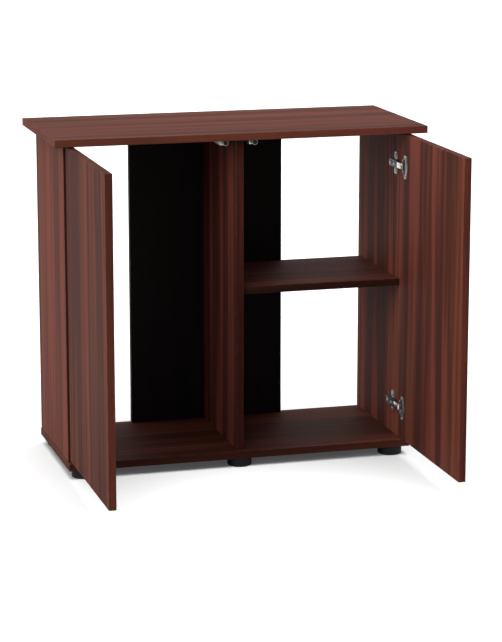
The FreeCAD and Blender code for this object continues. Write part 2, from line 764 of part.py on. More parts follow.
# Nothing is written unless every object is sound and every cut has removed material
doc.recompute()
for item in doc.Objects:
    if "Invalid" in item.State or "Error" in item.State:
        raise RuntimeError("%s did not build" % item.Label)
    if item.TypeId in ("PartDesign::Pocket", "PartDesign::Groove"):
        if item.Shape.Volume >= item.BaseFeature.Shape.Volume:
            raise RuntimeError("%s cut nothing" % item.Label)
for item in subparts:
    if item.Shape.isNull() or not item.Shape.isValid():
        raise RuntimeError("%s has no sound shape" % item.Label)

os.makedirs("parts", exist_ok=True)
for item in subparts:
    item.Shape.exportStep(os.path.join("parts", item.Label + ".step"))
whole = Part.makeCompound([item.Shape for item in subparts])
box = whole.BoundBox
print("nodes", len(subparts))
print("solids", len(whole.Solids))
print("box x %.2f to %.2f, y %.2f to %.2f, z %.2f to %.2f" % (
    box.XMin, box.XMax, box.YMin, box.YMax, box.ZMin, box.ZMax))
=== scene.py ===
import math

import bmesh
import bpy
from mathutils import Matrix, Vector


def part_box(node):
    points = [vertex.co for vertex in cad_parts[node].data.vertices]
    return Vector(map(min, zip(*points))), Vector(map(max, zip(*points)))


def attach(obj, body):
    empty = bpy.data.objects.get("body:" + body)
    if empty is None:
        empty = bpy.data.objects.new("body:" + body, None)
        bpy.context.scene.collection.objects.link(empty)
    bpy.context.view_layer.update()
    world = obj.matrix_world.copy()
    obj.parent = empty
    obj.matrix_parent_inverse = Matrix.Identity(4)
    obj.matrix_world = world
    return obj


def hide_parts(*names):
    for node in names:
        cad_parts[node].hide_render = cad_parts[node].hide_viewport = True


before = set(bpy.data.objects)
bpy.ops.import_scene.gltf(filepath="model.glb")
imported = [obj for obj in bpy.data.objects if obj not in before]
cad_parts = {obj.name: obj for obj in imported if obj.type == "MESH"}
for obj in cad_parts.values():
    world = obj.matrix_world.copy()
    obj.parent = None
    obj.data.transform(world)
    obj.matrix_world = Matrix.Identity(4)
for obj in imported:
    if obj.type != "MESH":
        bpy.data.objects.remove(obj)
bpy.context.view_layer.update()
mm = 0.001  # the sizes below are in millimetres, the scene is in metres
weld = 0.001 * mm  # points nearer than this become one
print("frame loaded:", len(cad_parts), "nodes")


class Wire:
    # one output of a finish; sums with it add Math nodes
    def __init__(self, finish, socket):
        self.finish = finish
        self.socket = socket

    def also(self, output):
        return Wire(self.finish, self.socket.node.outputs[output])

    def maths(self, operation, first, second):
        return self.finish.add("Math", {"operation": operation}, {0: first, 1: second})

    def __add__(self, other):
        return self.maths("ADD", self, other)

    def __radd__(self, other):
        return self.maths("ADD", other, self)

    def __sub__(self, other):
        return self.maths("SUBTRACT", self, other)

    def __rsub__(self, other):
        return self.maths("SUBTRACT", other, self)

    def __mul__(self, other):
        return self.maths("MULTIPLY", self, other)

    def __rmul__(self, other):
        return self.maths("MULTIPLY", other, self)

    def least(self, other):
        return self.maths("MINIMUM", self, other)

    def most(self, other):
        return self.maths("MAXIMUM", self, other)

    def power(self, other):
        return self.maths("POWER", self, other)

    def fade(self, low, high):  # 0 below low, 1 above high, smooth between
        return self.finish.add("MapRange", {"interpolation_type": "SMOOTHSTEP"},
                               {"Value": self, "From Min": low, "From Max": high})


class Finish:
    # one material or sky, and the nodes in it
    def __init__(self, owner):
        owner.use_nodes = True
        self.owner = owner
        self.tree = owner.node_tree
        self.tree.nodes.clear()

    def add(self, kind, settings={}, values={}, output=0):
        node = self.tree.nodes.new("ShaderNode" + kind)
        for key, setting in settings.items():
            if key == "stops":
                ramp = node.color_ramp
                while len(ramp.elements) < len(setting):
                    ramp.elements.new(0.5)
                for element, (spot, colour) in zip(ramp.elements, setting):
                    element.position = spot
                    element.color = (*colour, 1)
            else:
                setattr(node, key, setting)
        for key, item in values.items():
            if isinstance(item, Wire):
                self.tree.links.new(item.socket, node.inputs[key])
            else:
                node.inputs[key].default_value = item
        return Wire(self, node.outputs[output]) if node.outputs else None

    def place(self):  # where a point is on the part, which moves with its body
        return self.add("TexCoord", output="Object")

    def noise(self, place, scale, detail=2.0, rough=0.5):
        stretched = self.add("VectorMath", {"operation": "MULTIPLY"}, {0: place, 1: scale})
        return self.add("TexNoise", {}, {"Vector": stretched, "Scale": 1.0, "Detail": detail, "Roughness": rough})

    def mix(self, factor, first, second, way="MIX"):  # plain colours come as three numbers
        first, second = [(*end, 1) if isinstance(end, tuple) else end for end in (first, second)]
        return self.add("Mix", {"data_type": "RGBA", "blend_type": way}, {0: factor, 6: first, 7: second}, 2)

    def bump(self, strength, depth, height):
        return self.add("Bump", {}, {"Strength": strength, "Distance": depth * mm, "Height": height})

    def surface(self, values):
        shader = self.add("BsdfPrincipled", {}, values)
        self.add("OutputMaterial", {}, {"Surface": shader})


def newFinish(name):
    return Finish(bpy.data.materials.new(name))


def evenScale(size):  # noise scale for features of this size
    return [1 / (size * mm)] * 3


def grainScale(axis, across, along):  # the same, drawn out along one axis
    scale = evenScale(across)
    scale[axis] = 1 / (along * mm)
    return scale


def shared(first, second, share):  # the first has this share, the second the rest
    return first * share + second * (1 - share)


def aroundOne(wire, depth):  # a noise turned into a factor near 1
    return (1 - depth / 2) + wire * depth


def toned(colour, lightShadeTone):
    return tuple(part * lightShadeTone for part in colour)


def edgeGaps(finish, place, low, high):  # how far a point lies from the box's ends, along each axis
    split = finish.add("SeparateXYZ", {}, {0: place})
    gaps = []
    for axis in range(3):
        along = split.also(axis)
        gaps.append((along - low[axis]).least(high[axis] - along))
    return gaps


def nearestEdge(gaps):  # on a face one gap is nought, so the middle one is the way to the edge
    lower = gaps[0].least(gaps[1])
    upper = gaps[0].most(gaps[1])
    return lower.most(upper.least(gaps[2]))


def dress(node, material):  # a CAD node keeps its mesh and gets a better finish
    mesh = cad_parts[node].data
    mesh.materials.clear()
    mesh.materials.append(material)


# Laminated boards: printed wood grain with darker edge strips, partly real banding and partly painted shade, and
# lighter edges, partly wear and partly a painted edge highlight; each board's tone paints its own light and shade
laminateLook = {
    "darkBrown": (0.068, 0.0184, 0.0113),
    "brown": (0.104, 0.0281, 0.0173),
    "redBrown": (0.148, 0.0400, 0.0246),
    "lightRed": (0.198, 0.0535, 0.0329),
    "stops": (0.415, 0.475, 0.525, 0.595), "stopMiddle": 0.5,
    "pinkTint": (1.03, 0.95, 1.03), "tanTint": (0.98, 1.05, 0.97), "tintWidth": 90, "tintFade": (0.36, 0.64),
    "bandLength": 1300, "streakWidth": 14, "streakLength": 850,
    "hairWidth": 1.3, "hairLength": 190, "hairDepth": 0.32,
    "paleLines": 0.18, "paleWidth": 3.0, "paleLength": 520, "paleFade": (0.60, 0.74),
    "poreColour": (0.030, 0.0085, 0.0055), "poreDepth": 0.34,
    "poreWidth": 0.7, "poreLength": 22, "poreFade": (0.60, 0.70),
    "drift": 16, "driftWidth": 240, "driftLength": 420,
    "banding": (0.136, 0.0350, 0.0218), "edgeShare": 0.5, "edgeStart": 0.4, "edgeEnd": 0.9,
    "edgeSpread": 0.8, "edgePatch": 240,
    # worn is the colour of the pale lines and of the lighter edges, which are partly wear and partly a painted
    # edge highlight
    "worn": (0.27, 0.11, 0.08), "edgeWearAndHighlight": 0.35, "edgeWearAndHighlightStart": 0.2, "edgeWearAndHighlightReach": 1.6,
    "edgeWearAndHighlightPatches": (70, 70, 70), "edgeWearAndHighlightFade": (0.42, 0.68), "wearPolish": 0.1,
    "roughness": 0.62, "roughnessSpread": 0.14, "roughnessHairs": 0.6, "specular": 0.095,
    "bumpStrength": 0.5, "bumpDepth": 0.12, "bumpHairs": 0.7,
}
# The axes of the grain and of the thickness are 0, 1, 2 for x, y, z
# edgeToneAndShade darkens each board's edge strips, partly as darker banding and partly as painted shade, most on
# the shelf and on the sides' front edges in the hinge gaps
# lightShadeTone scales each board's face colour as painted light and shade: lighter on the partition and the
# right side, darker on the left door
boards = {
    "top_panel": {"grain": 0, "thick": 2, "bands": 56, "bandShare": 0.5, "contrast": 0.66,
                  "lightShadeTone": 0.94, "edgeToneAndShade": 1.00, "shift": (0.40, 1.93, 0.45)},
    "bottom_panel": {"grain": 0, "thick": 2, "bands": 54, "bandShare": 0.55, "contrast": 1.1,
                     "lightShadeTone": 0.92, "edgeToneAndShade": 0.56, "shift": (1.7, 0.4, 0.2)},
    "shelf": {"grain": 0, "thick": 2, "bands": 64, "bandShare": 0.55, "contrast": 1.1,
              "lightShadeTone": 0.90, "edgeToneAndShade": 0.28, "shift": (3.1, 1.3, 0.5)},
    "left_side_panel": {"grain": 2, "thick": 0, "bands": 54, "bandShare": 0.42, "contrast": 0.66,
                        "lightShadeTone": 0.90, "edgeToneAndShade": 0.3, "shift": (0.9, 0.2, 4.4)},
    "right_side_panel": {"grain": 2, "thick": 0, "bands": 46, "bandShare": 0.66, "contrast": 2.0,
                         "lightShadeTone": 1.30, "edgeToneAndShade": 0.3, "shift": (8.9, 6.88, 9.79)},
    "middle_partition": {"grain": 2, "thick": 0, "bands": 48, "bandShare": 0.55, "contrast": 1.8,
                         "lightShadeTone": 1.42, "edgeToneAndShade": 0.56, "shift": (9.3, 7.18, 9.79)},
    "left_door": {"grain": 2, "thick": 0, "bands": 48, "bandShare": 0.56, "contrast": 1.05,
                  "lightShadeTone": 0.76, "edgeToneAndShade": 0.66, "shift": (8.3, 1.2, 5.1)},
    "right_door": {"grain": 2, "thick": 0, "bands": 44, "bandShare": 0.66, "contrast": 1.15,
                   "lightShadeTone": 0.89, "edgeToneAndShade": 0.80, "shift": (6.4, 3.2, 0.8)},
}


def laminateFinish(node, board, look):
    finish = newFinish("laminate_" + node)
    low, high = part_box(node)
    place = finish.place()
    axis = board["grain"]

    # the grain sways a little from side to side along the board
    shifted = finish.add("VectorMath", {"operation": "ADD"}, {0: place, 1: board["shift"]})
    wander = finish.noise(shifted, grainScale(axis, look["driftWidth"], look["driftLength"]), detail=1.0)
    sway = [look["drift"] * mm] * 3
    sway[axis] = 0.0
    swayed = finish.add("VectorMath", {"operation": "MULTIPLY_ADD"}, {0: wander, 1: sway, 2: shifted})

    def grain(width, length, detail=2.0):
        return finish.noise(swayed, grainScale(axis, width, length), detail)

    bands = grain(board["bands"], look["bandLength"])
    streaks = grain(look["streakWidth"], look["streakLength"])
    hairs = grain(look["hairWidth"], look["hairLength"])
    shade = shared(bands, streaks, board["bandShare"])

    def grainColour(lightShadeTone):
        middle = look["stopMiddle"]
        spots = [middle + (spot - middle) / board["contrast"] for spot in look["stops"]]
        colours = [toned(look[name], lightShadeTone) for name in ("darkBrown", "brown", "redBrown", "lightRed")]
        return finish.add("ValToRGB", {"stops": list(zip(spots, colours))}, {0: shade})

    # the edge strips are plainer than the faces and uneven along their length; each board's edge tone darkens
    # them, partly as darker banding and partly as painted shade
    gaps = edgeGaps(finish, place, low, high)
    edgeFace = gaps[board["thick"]].fade(look["edgeStart"] * mm, look["edgeEnd"] * mm)
    edgeToneAndShade = board["edgeToneAndShade"]
    edgeColour = finish.mix(look["edgeShare"], grainColour(edgeToneAndShade), toned(look["banding"], edgeToneAndShade))
    patch = finish.noise(shifted, evenScale(look["edgePatch"]), detail=1.0)
    edgeColour = finish.mix(1.0, edgeColour, aroundOne(patch, look["edgeSpread"]), "MULTIPLY")
    # the face takes the board's painted light and shade
    colour = finish.mix(edgeFace, grainColour(board["lightShadeTone"]), edgeColour)

    # warmer and cooler bands, hair lines, pale lines and pores
    warmth = grain(look["tintWidth"], look["bandLength"], detail=1.0).fade(*look["tintFade"])
    colour = finish.mix(1.0, colour, finish.mix(warmth, look["pinkTint"], look["tanTint"]), "MULTIPLY")
    colour = finish.mix(1.0, colour, aroundOne(hairs, look["hairDepth"]), "MULTIPLY")
    pale = grain(look["paleWidth"], look["paleLength"], detail=1.0).fade(*look["paleFade"])
    colour = finish.mix(pale * look["paleLines"], colour, look["worn"])
    pores = grain(look["poreWidth"], look["poreLength"], detail=1.0).fade(*look["poreFade"])
    colour = finish.mix(pores * look["poreDepth"], colour, look["poreColour"])

    # lighter in patches along the edges, partly as wear and partly as a painted edge highlight
    patches = finish.noise(shifted, look["edgeWearAndHighlightPatches"]).fade(*look["edgeWearAndHighlightFade"])
    edgeWearAndHighlight = (1 - nearestEdge(gaps).fade(look["edgeWearAndHighlightStart"] * mm, look["edgeWearAndHighlightReach"] * mm)) * patches
    colour = finish.mix(edgeWearAndHighlight * look["edgeWearAndHighlight"], colour, look["worn"])
    texture = shared(hairs, streaks, look["roughnessHairs"])
    rough = look["roughness"] + texture * look["roughnessSpread"] - edgeWearAndHighlight * look["wearPolish"]
    bump = finish.bump(look["bumpStrength"], look["bumpDepth"], shared(hairs, streaks, look["bumpHairs"]))
    finish.surface({"Base Color": colour, "Roughness": rough, "Normal": bump,
                    "Specular IOR Level": look["specular"]})
    return finish.owner


for node, board in boards.items():
    dress(node, laminateFinish(node, board, laminateLook))
print("laminate on", len(boards), "boards")

# Back panel: nearly black board with a faint brown grain and pressed pores
blackLook = {
    "black": (0.0018, 0.0010, 0.0009), "brown": (0.0115, 0.0066, 0.0054), "grain": 2,
    "bandWidth": 34, "bandLength": 800, "bandFade": (0.34, 0.66), "bandShare": 0.6,
    "poreWidth": 1.1, "poreLength": 30, "poreShare": 0.3,
    "worn": (0.05, 0.040, 0.036), "edgeWearAndHighlight": 0.5, "edgeWearAndHighlightStart": 0.2, "edgeWearAndHighlightReach": 1.4,
    "edgeWearAndHighlightPatches": (80, 80, 40), "edgeWearAndHighlightFade": (0.4, 0.7), "wearPolish": 0.1,
    "roughness": 0.55, "roughnessSpread": 0.16, "specular": 0.08, "bumpStrength": 0.4, "bumpDepth": 0.1,
}


def blackBoardFinish(node, look):
    finish = newFinish("black_board")
    low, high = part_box(node)
    place = finish.place()
    pores = finish.noise(place, grainScale(look["grain"], look["poreWidth"], look["poreLength"]))
    bands = finish.noise(place, grainScale(look["grain"], look["bandWidth"], look["bandLength"]), detail=3.0)
    brownness = bands.fade(*look["bandFade"]) * look["bandShare"] + pores * look["poreShare"]
    colour = finish.mix(brownness, look["black"], look["brown"])
    # the edges get lighter in patches, partly as wear and partly as a painted edge highlight
    edge = nearestEdge(edgeGaps(finish, place, low, high))
    patches = finish.noise(place, look["edgeWearAndHighlightPatches"]).fade(*look["edgeWearAndHighlightFade"])
    edgeWearAndHighlight = (1 - edge.fade(look["edgeWearAndHighlightStart"] * mm, look["edgeWearAndHighlightReach"] * mm)) * patches
    colour = finish.mix(edgeWearAndHighlight * look["edgeWearAndHighlight"], colour, look["worn"])
    rough = look["roughness"] + pores * look["roughnessSpread"] - edgeWearAndHighlight * look["wearPolish"]
    bump = finish.bump(look["bumpStrength"], look["bumpDepth"], pores)
    finish.surface({"Base Color": colour, "Roughness": rough, "Normal": bump,
                    "Specular IOR Level": look["specular"]})
    return finish.owner


dress("back_panel", blackBoardFinish("back_panel", blackLook))

# Metals of the fittings: cloudy dull patches and fine lines; the noise scales here are per metre
metalLook = {"clouds": (90, 90, 90), "cloudFade": (0.35, 0.75), "cloudShare": 0.7,
             "lines": (1800, 300, 1800), "lineShare": 0.2, "lineRoughness": 0.6, "bumpStrength": 0.3}
metals = {
    "nickel": {"colour": (0.88, 0.87, 0.85), "dull": (0.66, 0.64, 0.61),
               "roughness": 0.14, "spread": 0.12, "scratch": 0.02},
    # the next two are darker copies of the nickel above: painted shade on the hinges' plates and cups, and deeper
    # painted shade on the arms
    "nickel_painted_shade": {"colour": (0.36, 0.35, 0.34), "dull": (0.18, 0.175, 0.17),
                    "roughness": 0.26, "spread": 0.20, "scratch": 0.03},
    "nickel_painted_deep_shade": {"colour": (0.11, 0.108, 0.106), "dull": (0.05, 0.048, 0.046),
                    "roughness": 0.30, "spread": 0.20, "scratch": 0.03},
    "zinc_steel": {"colour": (0.62, 0.62, 0.63), "dull": (0.40, 0.40, 0.41),
                   "roughness": 0.24, "spread": 0.18, "scratch": 0.03},
}


def metalFinish(name, metal, look):
    finish = newFinish(name)
    place = finish.place()
    clouds = finish.noise(place, look["clouds"], detail=3.0)
    lines = finish.noise(place, look["lines"])
    dulling = clouds.fade(*look["cloudFade"]) * look["cloudShare"] + lines * look["lineShare"]
    colour = finish.mix(dulling, metal["colour"], metal["dull"])
    rough = metal["roughness"] + clouds * metal["spread"] + lines * metal["spread"] * look["lineRoughness"]
    bump = finish.bump(look["bumpStrength"], metal["scratch"], lines)
    finish.surface({"Base Color": colour, "Metallic": 1.0, "Roughness": rough, "Normal": bump})
    return finish.owner


# Plastics of the feet, latches and pads: a moulded grain, cloudy patches and scuffs
plasticLook = {"clouds": (35, 35, 35), "cloudShare": 0.25,
               "scuffs": (60, 60, 220), "scuffFade": (0.60, 0.74), "scuffShare": 0.4, "scuffPolish": 0.08,
               "grainRoughness": 0.12, "bumpStrength": 0.35}
plastics = {
    "foot_plastic": {"colour": (0.005, 0.005, 0.0055), "worn": (0.020, 0.020, 0.021), "roughness": 0.45,
                     "grain": 0.6, "depth": 0.05, "specular": 0.22, "metallic": 0.0},
    "latch_grey": {"colour": (0.74, 0.74, 0.74), "worn": (0.86, 0.86, 0.86), "roughness": 0.26,
                   "grain": 0.7, "depth": 0.03, "specular": 0.5, "metallic": 0.6},  # with a metallic lustre
    "pad_rubber": {"colour": (0.030, 0.033, 0.032), "worn": (0.09, 0.09, 0.09), "roughness": 0.60,
                   "grain": 0.5, "depth": 0.05, "specular": 0.3, "metallic": 0.0},
}


def plasticFinish(name, plastic, look):
    finish = newFinish(name)
    place = finish.place()
    grain = finish.noise(place, evenScale(plastic["grain"]))
    clouds = finish.noise(place, look["clouds"])
    scuffs = finish.noise(place, look["scuffs"], detail=4.0, rough=0.65).fade(*look["scuffFade"])
    fading = clouds * look["cloudShare"] + scuffs * look["scuffShare"]
    colour = finish.mix(fading, plastic["colour"], plastic["worn"])
    rough = plastic["roughness"] + grain * look["grainRoughness"] - scuffs * look["scuffPolish"]
    bump = finish.bump(look["bumpStrength"], plastic["depth"], grain)
    finish.surface({"Base Color": colour, "Roughness": rough, "Normal": bump,
                    "Specular IOR Level": plastic["specular"], "Metallic": plastic["metallic"]})
    return finish.owner


# Dowels of pale beech with short flecks
dowelLook = {"light": (0.62, 0.44, 0.27), "dark": (0.40, 0.25, 0.13), "grain": 2,
             "fleckWidth": 0.8, "fleckLength": 9, "ringWidth": 3, "ringLength": 60, "ringShare": 0.6,
             "roughness": 0.66, "roughnessSpread": 0.2, "bumpStrength": 0.5, "bumpDepth": 0.1}


def dowelFinish(name, look):
    finish = newFinish(name)
    place = finish.place()
    flecks = finish.noise(place, grainScale(look["grain"], look["fleckWidth"], look["fleckLength"]), detail=3.0)
    rings = finish.noise(place, grainScale(look["grain"], look["ringWidth"], look["ringLength"]))
    colour = finish.mix(shared(rings, flecks, look["ringShare"]), look["light"], look["dark"])
    rough = look["roughness"] + flecks * look["roughnessSpread"]
    bump = finish.bump(look["bumpStrength"], look["bumpDepth"], flecks)
    finish.surface({"Base Color": colour, "Roughness": rough, "Normal": bump})
    return finish.owner


finishes = {name: metalFinish(name, metal, metalLook) for name, metal in metals.items()}
for name, plastic in plastics.items():
    finishes[name] = plasticFinish(name, plastic, plasticLook)
beech = dowelFinish("dowel_beech", dowelLook)
for node in ("top_dowels", "bottom_dowels", "rear_dowels"):
    dress(node, beech)
for side in ("left", "right"):
    dress(side + "_hinge_pins", finishes["zinc_steel"])
    dress(side + "_latch_spring", finishes["zinc_steel"])
print("finishes made:", len(bpy.data.materials))

# Pieces made here take the place of CAD nodes that are too plain
meshLook = {"smoothBelow": 35, "easeAbove": 30, "flatBelow": 0.5}  # angles between faces, in degrees


def addPiece(name, bm, material, body, node):
    bmesh.ops.recalc_face_normals(bm, faces=bm.faces)
    mesh = bpy.data.meshes.new(name)
    bm.to_mesh(mesh)
    bm.free()
    mesh.polygons.foreach_set("use_smooth", [True] * len(mesh.polygons))
    mesh.set_sharp_from_angle(angle=math.radians(meshLook["smoothBelow"]))
    mesh.materials.append(material)
    piece = bpy.data.objects.new(name, mesh)
    bpy.context.scene.collection.objects.link(piece)
    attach(piece, body)
    if node:
        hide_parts(node)
    return piece


def cleanCopy(node):  # a CAD mesh with its flat faces whole again
    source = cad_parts[node].data
    bm = bmesh.new()
    corners = [bm.verts.new(vertex.co) for vertex in source.vertices]
    for polygon in source.polygons:
        bm.faces.new([corners[index] for index in polygon.vertices])
    bmesh.ops.remove_doubles(bm, verts=bm.verts, dist=weld)
    flat = math.radians(meshLook["flatBelow"])
    bmesh.ops.dissolve_limit(bm, angle_limit=flat, verts=bm.verts, edges=bm.edges)
    return bm


def easeEdges(bm, width, segments):
    limit = math.radians(meshLook["easeAbove"])
    sharp = [edge for edge in bm.edges if len(edge.link_faces) == 2 and edge.calc_face_angle() > limit]
    bmesh.ops.bevel(bm, geom=sharp, offset=width * mm, offset_type="OFFSET", segments=segments,
                    profile=0.5, affect="EDGES", clamp_overlap=True)


def turned(bm, outline, steps, matrix):  # outline of (radius, height) points, turned round z
    rings = []
    for radius, height in outline:
        if radius == 0:
            rings.append([bm.verts.new(matrix @ Vector((0, 0, height * mm)))])
            continue
        ring = []
        for step in range(steps):
            angle = 2 * math.pi * step / steps
            spot = Vector((radius * math.cos(angle), radius * math.sin(angle), height)) * mm
            ring.append(bm.verts.new(matrix @ spot))
        rings.append(ring)
    for first, second in zip(rings, rings[1:]):
        for step in range(steps):
            after = (step + 1) % steps
            if len(first) == 1:
                bm.faces.new((first[0], second[step], second[after]))
            elif len(second) == 1:
                bm.faces.new((first[step], second[0], first[after]))
            else:
                bm.faces.new((first[step], second[step], second[after], first[after]))


def roundedEnd(radius, height, reach, steps, rising):  # a quarter round from a wall to an end face
    points = []
    for step in range(steps + 1):
        angle = math.pi / 2 * step / steps
        points.append((radius - reach + reach * math.cos(angle),
                       height + rising * reach * (math.sin(angle) - 1)))
    return points


def standing(top, facing):  # turns z to the way that a fastener faces
    return Matrix.Translation(top) @ facing.to_track_quat("Z", "Y").to_matrix().to_4x4()


# Feet: moulded plastic discs with a rounded lower edge, a fine groove and a hollow below for the screw
footLook = {
    "lowerRound": 2.6, "lowerSteps": 5, "upperRound": 0.8, "upperSteps": 3,
    "grooveLevel": 15.6, "groove": 0.5, "grooveFloor": 0.4,
    "hollow": 8.0, "hollowDepth": 10.0, "hollowRim": 0.5, "screwHole": 2.3,
    "ring": (12.5, 18.5), "ringDepth": 1.2, "ringSlope": 0.4, "steps": 72,
}


def makeFoot(node, look):
    low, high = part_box(node)
    radius = (high.x - low.x) / 2 / mm
    height = (high.z - low.z) / mm
    hole, hollow, depth, rim = look["screwHole"], look["hollow"], look["hollowDepth"], look["hollowRim"]
    outline = [(hole, height), (hole, depth), (hollow, depth), (hollow, rim), (hollow + rim, 0)]
    inner, outer = look["ring"]
    slope, ringDepth = look["ringSlope"], look["ringDepth"]
    outline += [(inner, 0), (inner + slope, ringDepth), (outer - slope, ringDepth), (outer, 0)]
    outline += reversed(roundedEnd(radius, 0, look["lowerRound"], look["lowerSteps"], -1))
    level, groove = look["grooveLevel"], look["groove"]
    floor = groove * look["grooveFloor"]
    outline += [(radius, level - groove), (radius - groove, level - floor),
                (radius - groove, level + floor), (radius, level + groove)]
    outline += roundedEnd(radius, height, look["upperRound"], look["upperSteps"], 1)
    outline.append(outline[0])
    bm = bmesh.new()
    centre = (low + high) / 2
    turned(bm, outline, look["steps"], Matrix.Translation((centre.x, centre.y, low.z)))
    bmesh.ops.remove_doubles(bm, verts=bm.verts, dist=weld)
    addPiece(node + "_moulded", bm, finishes["foot_plastic"], "cabinet", node)


footNodes = [row + "_" + column + "_foot" for row in ("front", "back") for column in ("left", "middle", "right")]
for node in footNodes:
    makeFoot(node, footLook)
print("feet:", len(footNodes))

# Screws: each CAD solid tells where its screw is, how long it is and how wide its head is
screwLook = {
    "crossWidth": 0.22, "crossReach": 0.62, "crossDepth": 0.75, "crossTaper": 0.55, "crossAbove": 1.0,
    "crown": 0.35, "crownSteps": 6, "dome": 0.85, "underside": 0.98,
    "thread": 0.16, "pitch": 0.42, "leastPitch": 0.6, "crest": 0.35, "steps": 28,
    "firstTurn": 17, "nextTurn": 41, "endShare": 0.05,
}
screwGroups = {
    "plate_screws": {"body": "cabinet", "headHeight": 2.0},
    "arm_screws": {"body": "cabinet", "headHeight": 2.0},
    "latch_screws": {"body": "cabinet", "headHeight": 1.8},
    "foot_screws": {"body": "cabinet", "headHeight": 3.0},
    "left_cup_screws": {"body": "door_left", "headHeight": 1.6},
    "right_cup_screws": {"body": "door_right", "headHeight": 1.6},
}


def roundedMiddle(points):
    middle = sum(points, Vector()) / len(points)
    return tuple(round(number, 5) for number in middle)


def solidsOf(node):  # the points of each separate solid, in a fixed order
    bm = cleanCopy(node)
    left = set(bm.verts)
    solids = []
    while left:
        found = [left.pop()]
        for vertex in found:
            for edge in vertex.link_edges:
                other = edge.other_vert(vertex)
                if other in left:
                    left.remove(other)
                    found.append(other)
        solids.append([vertex.co.copy() for vertex in found])
    bm.free()
    return sorted(solids, key=roundedMiddle)


def screwPlace(points, look):  # the middle of the head's top, the way it faces, and the sizes in millimetres
    low = Vector([min(point[axis] for point in points) for axis in range(3)])
    high = Vector([max(point[axis] for point in points) for axis in range(3)])
    size = high - low
    axis = max(range(3), key=lambda number: size[number])
    along = Vector([float(number == axis) for number in range(3)])
    middle = (low + high) / 2
    reach = {}
    for end, level in ((-1, low[axis]), (1, high[axis])):
        near = [point - middle for point in points if abs(point[axis] - level) < size[axis] * look["endShare"]]
        reach[end] = max((offset - offset.project(along)).length for offset in near)
    end = 1 if reach[1] > reach[-1] else -1
    top = middle.copy()
    top[axis] = high[axis] if end > 0 else low[axis]
    head = max(size[number] for number in range(3) if number != axis) / 2
    return top, along * end, head / mm, reach[-end] / mm, size[axis] / mm


def screwMesh(head, shank, length, headHeight, look):
    root = shank * (1 - look["thread"])
    pitch = max(look["pitch"] * shank, look["leastPitch"])
    level = -length + shank
    outline = [(0, -length), (root, level)]
    while level < -headHeight - pitch:
        outline += [(shank, level + pitch * look["crest"]), (root, level + pitch)]
        level += pitch
    outline += [(root, -headHeight), (head * look["underside"], -headHeight)]
    crown, crownSteps = look["crown"], look["crownSteps"]
    for step in range(crownSteps + 1):
        angle = math.pi / 2 * step / crownSteps
        outline.append((head * (1 - crown + crown * math.cos(angle)),
                        -headHeight * look["dome"] * (1 - math.sin(angle))))
    outline.append((0, 0))
    bm = bmesh.new()
    turned(bm, outline, look["steps"], Matrix.Identity(4))
    bmesh.ops.recalc_face_normals(bm, faces=bm.faces)
    mesh = bpy.data.meshes.new("screw_blank")
    bm.to_mesh(mesh)
    bm.free()
    return cutCross(mesh, head, headHeight, look)


def cutCross(mesh, head, headHeight, look):  # the driver's cross, cut out of the head
    bm = bmesh.new()
    wide, reach = head * look["crossWidth"] / 2, head * look["crossReach"]
    deep, taper = headHeight * look["crossDepth"], look["crossTaper"]
    corners = [(wide, wide), (wide, reach), (-wide, reach), (-wide, wide), (-reach, wide), (-reach, -wide),
               (-wide, -wide), (-wide, -reach), (wide, -reach), (wide, -wide), (reach, -wide), (reach, wide)]
    floor = [bm.verts.new(Vector((x * taper, y * taper, -deep)) * mm) for x, y in corners]
    roof = [bm.verts.new(Vector((x, y, look["crossAbove"])) * mm) for x, y in corners]
    bm.faces.new(floor)
    bm.faces.new(list(reversed(roof)))
    for index in range(len(corners)):
        after = (index + 1) % len(corners)
        bm.faces.new((floor[index], roof[index], roof[after], floor[after]))
    bmesh.ops.recalc_face_normals(bm, faces=bm.faces)
    tool = bpy.data.objects.new("cross_tool", bpy.data.meshes.new("cross_tool"))
    bm.to_mesh(tool.data)
    bm.free()
    blank = bpy.data.objects.new("screw_blank", mesh)
    for thing in (tool, blank):
        bpy.context.scene.collection.objects.link(thing)
    cut = blank.modifiers.new("cross", "BOOLEAN")
    cut.operation = "DIFFERENCE"
    cut.solver = "EXACT"
    cut.object = tool
    whole = bpy.data.meshes.new_from_object(blank.evaluated_get(bpy.context.evaluated_depsgraph_get()))
    for thing in (tool, blank):
        bpy.data.objects.remove(thing)
    return whole


for node, group in screwGroups.items():
    solids = [screwPlace(points, screwLook) for points in solidsOf(node)]
    pattern = screwMesh(*solids[0][2:], group["headHeight"], screwLook)
    bm = bmesh.new()
    for index, (top, facing, head, shank, length) in enumerate(solids):
        turn = screwLook["firstTurn"] + screwLook["nextTurn"] * index  # no two driven to the same angle
        copied = pattern.copy()
        copied.transform(standing(top, facing) @ Matrix.Rotation(math.radians(turn), 4, "Z"))
        bm.from_mesh(copied)
        bpy.data.meshes.remove(copied)
    addPiece(node + "_driven", bm, finishes["zinc_steel"], group["body"], node)
print("screw groups:", len(screwGroups))

# Shelf pins with rounded ends
pinLook = {"round": 0.8, "roundSteps": 4, "steps": 24}
bm = bmesh.new()
for points in solidsOf("shelf_pins"):
    top, facing, radius, shank, length = screwPlace(points, screwLook)
    outline = [(0, -length)]
    outline += reversed(roundedEnd(radius, -length, pinLook["round"], pinLook["roundSteps"], -1))
    outline += roundedEnd(radius, 0, pinLook["round"], pinLook["roundSteps"], 1)
    outline.append((0, 0))
    turned(bm, outline, pinLook["steps"], standing(top, facing))
addPiece("shelf_pins_rounded", bm, finishes["zinc_steel"], "cabinet", "shelf_pins")

